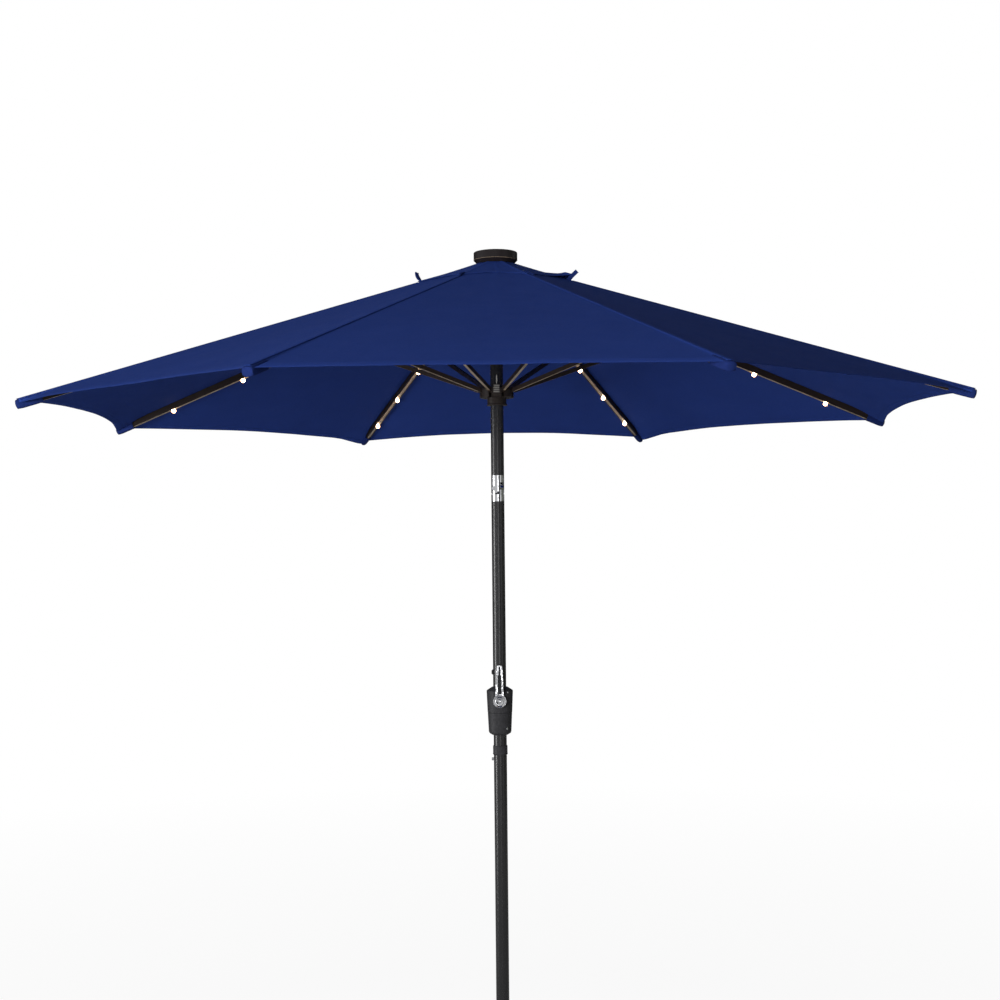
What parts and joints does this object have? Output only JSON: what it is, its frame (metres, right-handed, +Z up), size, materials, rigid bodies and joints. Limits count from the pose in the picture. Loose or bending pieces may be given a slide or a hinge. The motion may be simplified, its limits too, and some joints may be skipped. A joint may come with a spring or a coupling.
{
  "type": "patio umbrella with base",
  "caption": "Open octagonal market umbrella with a crank lift, push-button tilt, vented cloth canopy, lamps along its ribs, a solar cap and a round cast base.",
  "frame": {"origin": "on the floor below the feet, on the pole's axis", "axes": "+Z up along the pole; -Y is the crank's side; -X is the snap button's side"},
  "size_m": [2.501, 2.501, 2.5],
  "materials": {
    "canopy_cloth": "matte",
    "bronze_paint": "satin",
    "charcoal_paint": "satin",
    "cast_base": "matte",
    "foot_rubber": "matte",
    "chrome_steel": "polished",
    "housing_plastic": "matte",
    "hub_plastic": "matte",
    "runner_plastic": "matte",
    "knob_plastic": "matte",
    "white_nylon": "satin",
    "lift_cord": "matte",
    "lamp_plastic": "gloss",
    "cap_plastic": "satin",
    "solar_cells": "gloss",
    "cell_sleeve": "satin",
    "switch_plastic": "satin"
  },
  "bodies": {
    "base": {"base_plate": "cast_base", "base_stem": "charcoal_paint", "base_feet": "foot_rubber"},
    "base_knob": {"base_knob": "knob_plastic"},
    "pole": {"lower_pole": "charcoal_paint", "main_pole": "charcoal_paint", "pole_collar": "housing_plastic", "crank_housing_front": "housing_plastic", "crank_housing_back": "housing_plastic", "tilt_lower": "chrome_steel", "cord_lower": "lift_cord"},
    "snap_button": {"snap_button": "chrome_steel"},
    "crank": {"crank_spool": "white_nylon", "crank_arm": "chrome_steel"},
    "crank_grip": {"crank_grip": "knob_plastic"},
    "mast_top": {"tilt_upper": "chrome_steel", "upper_pole": "charcoal_paint", "top_hub": "hub_plastic", "cord_upper": "lift_cord", "cord_drop": "lift_cord", "solar_cap": "cap_plastic", "solar_panel": "solar_cells", "battery": "cell_sleeve"},
    "tilt_button": {"tilt_button": "chrome_steel"},
    "light_switch": {"light_switch": "switch_plastic"},
    "pulley": {"pulley": "white_nylon"},
    "runner": {"runner": "runner_plastic", "cord_anchor": "white_nylon"},
    "rib_1": {"rib_1": "bronze_paint", "canopy_1": "canopy_cloth", "lights_1": "lamp_plastic"},
    "strut_1": {"strut_1": "bronze_paint"},
    "rib_2": {"rib_2": "bronze_paint", "canopy_2": "canopy_cloth", "lights_2": "lamp_plastic"},
    "strut_2": {"strut_2": "bronze_paint"},
    "rib_3": {"rib_3": "bronze_paint", "canopy_3": "canopy_cloth", "lights_3": "lamp_plastic"},
    "strut_3": {"strut_3": "bronze_paint"},
    "rib_4": {"rib_4": "bronze_paint", "canopy_4": "canopy_cloth", "lights_4": "lamp_plastic"},
    "strut_4": {"strut_4": "bronze_paint"},
    "rib_5": {"rib_5": "bronze_paint", "canopy_5": "canopy_cloth", "lights_5": "lamp_plastic"},
    "strut_5": {"strut_5": "bronze_paint"},
    "rib_6": {"rib_6": "bronze_paint", "canopy_6": "canopy_cloth", "lights_6": "lamp_plastic"},
    "strut_6": {"strut_6": "bronze_paint"},
    "rib_7": {"rib_7": "bronze_paint", "canopy_7": "canopy_cloth", "lights_7": "lamp_plastic"},
    "strut_7": {"strut_7": "bronze_paint"},
    "rib_8": {"rib_8": "bronze_paint", "canopy_8": "canopy_cloth", "lights_8": "lamp_plastic"},
    "strut_8": {"strut_8": "bronze_paint"}
  },
  "joints": [
    {"name": "pole_turn", "type": "hinge", "parent": "base", "child": "pole", "pos_m": [0, 0, 0.3], "axis": [0, 0, 1], "continuous": true},
    {"name": "knob_turn", "type": "hinge", "parent": "base", "child": "base_knob", "pos_m": [0.05, 0, 0.245], "axis": [1, 0, 0], "range_deg": [0, 720]},
    {"name": "snap_press", "type": "slide", "parent": "pole", "child": "snap_button", "axis": [1, 0, 0], "range_m": [0, 0.005], "stiffness_N_per_m": 800},
    {"name": "tilt", "type": "hinge", "parent": "pole", "child": "mast_top", "pos_m": [0, 0, 1.806], "axis": [-0.7071, -0.7071, 0], "range_deg": [0, 30]},
    {"name": "tilt_press", "type": "slide", "parent": "mast_top", "child": "tilt_button", "axis": [0.7071, 0.7071, 0], "range_m": [0, 0.0025], "stiffness_N_per_m": 800},
    {"name": "switch_press", "type": "slide", "parent": "mast_top", "child": "light_switch", "axis": [0, -1, 0], "range_m": [0, 0.0015], "stiffness_N_per_m": 800},
    {"name": "crank_turn", "type": "hinge", "parent": "pole", "child": "crank", "pos_m": [0, 0, 1.188], "axis": [0, 1, 0], "range_deg": [-4329, 0]},
    {"name": "grip_fold", "type": "hinge", "parent": "crank", "child": "crank_grip", "pos_m": [0, -0.0455, 1.284], "axis": [-1, 0, 0], "range_deg": [0, 90]},
    {"name": "pulley_spin", "type": "hinge", "parent": "mast_top", "child": "pulley", "pos_m": [0, -0.012, 2.12802], "axis": [-1, 0, 0], "range_deg": [-4123, 0]},
    {"name": "runner_slide", "type": "slide", "parent": "mast_top", "child": "runner", "axis": [0, 0, 1], "range_m": [-0.7557, 0], "deforming": ["cord_drop"]},
    {"name": "rib_1_fold", "type": "hinge", "parent": "mast_top", "child": "rib_1", "pos_m": [0.03511, 0.01454, 2.45659], "axis": [0.3827, -0.9239, 0], "range_deg": [-64.52, 0], "deforming": ["canopy_1"]},
    {"name": "strut_1_fold", "type": "hinge", "parent": "rib_1", "child": "strut_1", "pos_m": [0.52871, 0.219, 2.2728], "axis": [0.3827, -0.9239, 0], "range_deg": [0, 129.04]},
    {"name": "rib_2_fold", "type": "hinge", "parent": "mast_top", "child": "rib_2", "pos_m": [0.01454, 0.03511, 2.45659], "axis": [0.9239, -0.3827, 0], "range_deg": [-64.52, 0], "deforming": ["canopy_2"]},
    {"name": "strut_2_fold", "type": "hinge", "parent": "rib_2", "child": "strut_2", "pos_m": [0.219, 0.52871, 2.2728], "axis": [0.9239, -0.3827, 0], "range_deg": [0, 129.04]},
    {"name": "rib_3_fold", "type": "hinge", "parent": "mast_top", "child": "rib_3", "pos_m": [-0.01454, 0.03511, 2.45659], "axis": [0.9239, 0.3827, 0], "range_deg": [-64.52, 0], "deforming": ["canopy_3"]},
    {"name": "strut_3_fold", "type": "hinge", "parent": "rib_3", "child": "strut_3", "pos_m": [-0.219, 0.52871, 2.2728], "axis": [0.9239, 0.3827, 0], "range_deg": [0, 129.04]},
    {"name": "rib_4_fold", "type": "hinge", "parent": "mast_top", "child": "rib_4", "pos_m": [-0.03511, 0.01454, 2.45659], "axis": [0.3827, 0.9239, 0], "range_deg": [-64.52, 0], "deforming": ["canopy_4"]},
    {"name": "strut_4_fold", "type": "hinge", "parent": "rib_4", "child": "strut_4", "pos_m": [-0.52871, 0.219, 2.2728], "axis": [0.3827, 0.9239, 0], "range_deg": [0, 129.04]},
    {"name": "rib_5_fold", "type": "hinge", "parent": "mast_top", "child": "rib_5", "pos_m": [-0.03511, -0.01454, 2.45659], "axis": [-0.3827, 0.9239, 0], "range_deg": [-64.52, 0], "deforming": ["canopy_5"]},
    {"name": "strut_5_fold", "type": "hinge", "parent": "rib_5", "child": "strut_5", "pos_m": [-0.52871, -0.219, 2.2728], "axis": [-0.3827, 0.9239, 0], "range_deg": [0, 129.04]},
    {"name": "rib_6_fold", "type": "hinge", "parent": "mast_top", "child": "rib_6", "pos_m": [-0.01454, -0.03511, 2.45659], "axis": [-0.9239, 0.3827, 0], "range_deg": [-64.52, 0], "deforming": ["canopy_6"]},
    {"name": "strut_6_fold", "type": "hinge", "parent": "rib_6", "child": "strut_6", "pos_m": [-0.219, -0.52871, 2.2728], "axis": [-0.9239, 0.3827, 0], "range_deg": [0, 129.04]},
    {"name": "rib_7_fold", "type": "hinge", "parent": "mast_top", "child": "rib_7", "pos_m": [0.01454, -0.03511, 2.45659], "axis": [-0.9239, -0.3827, 0], "range_deg": [-64.52, 0], "deforming": ["canopy_7"]},
    {"name": "strut_7_fold", "type": "hinge", "parent": "rib_7", "child": "strut_7", "pos_m": [0.219, -0.52871, 2.2728], "axis": [-0.9239, -0.3827, 0], "range_deg": [0, 129.04]},
    {"name": "rib_8_fold", "type": "hinge", "parent": "mast_top", "child": "rib_8", "pos_m": [0.03511, -0.01454, 2.45659], "axis": [-0.3827, -0.9239, 0], "range_deg": [-64.52, 0], "deforming": ["canopy_8"]},
    {"name": "strut_8_fold", "type": "hinge", "parent": "rib_8", "child": "strut_8", "pos_m": [0.52871, -0.219, 2.2728], "axis": [-0.3827, -0.9239, 0], "range_deg": [0, 129.04]}
  ],
  "couplings": [
    {"joint": "crank_turn", "follows": "rib_1_fold", "ratio": 67.064},
    {"joint": "pulley_spin", "follows": "rib_1_fold", "ratio": 63.87},
    {"joint": "runner_slide", "follows": "rib_1_fold", "m_per_rad": 0.67064},
    {"joint": "strut_1_fold", "follows": "rib_1_fold", "ratio": -2},
    {"joint": "rib_2_fold", "follows": "rib_1_fold", "ratio": 1},
    {"joint": "strut_2_fold", "follows": "rib_1_fold", "ratio": -2},
    {"joint": "rib_3_fold", "follows": "rib_1_fold", "ratio": 1},
    {"joint": "strut_3_fold", "follows": "rib_1_fold", "ratio": -2},
    {"joint": "rib_4_fold", "follows": "rib_1_fold", "ratio": 1},
    {"joint": "strut_4_fold", "follows": "rib_1_fold", "ratio": -2},
    {"joint": "rib_5_fold", "follows": "rib_1_fold", "ratio": 1},
    {"joint": "strut_5_fold", "follows": "rib_1_fold", "ratio": -2},
    {"joint": "rib_6_fold", "follows": "rib_1_fold", "ratio": 1},
    {"joint": "strut_6_fold", "follows": "rib_1_fold", "ratio": -2},
    {"joint": "rib_7_fold", "follows": "rib_1_fold", "ratio": 1},
    {"joint": "strut_7_fold", "follows": "rib_1_fold", "ratio": -2},
    {"joint": "rib_8_fold", "follows": "rib_1_fold", "ratio": 1},
    {"joint": "strut_8_fold", "follows": "rib_1_fold", "ratio": -2}
  ]
}
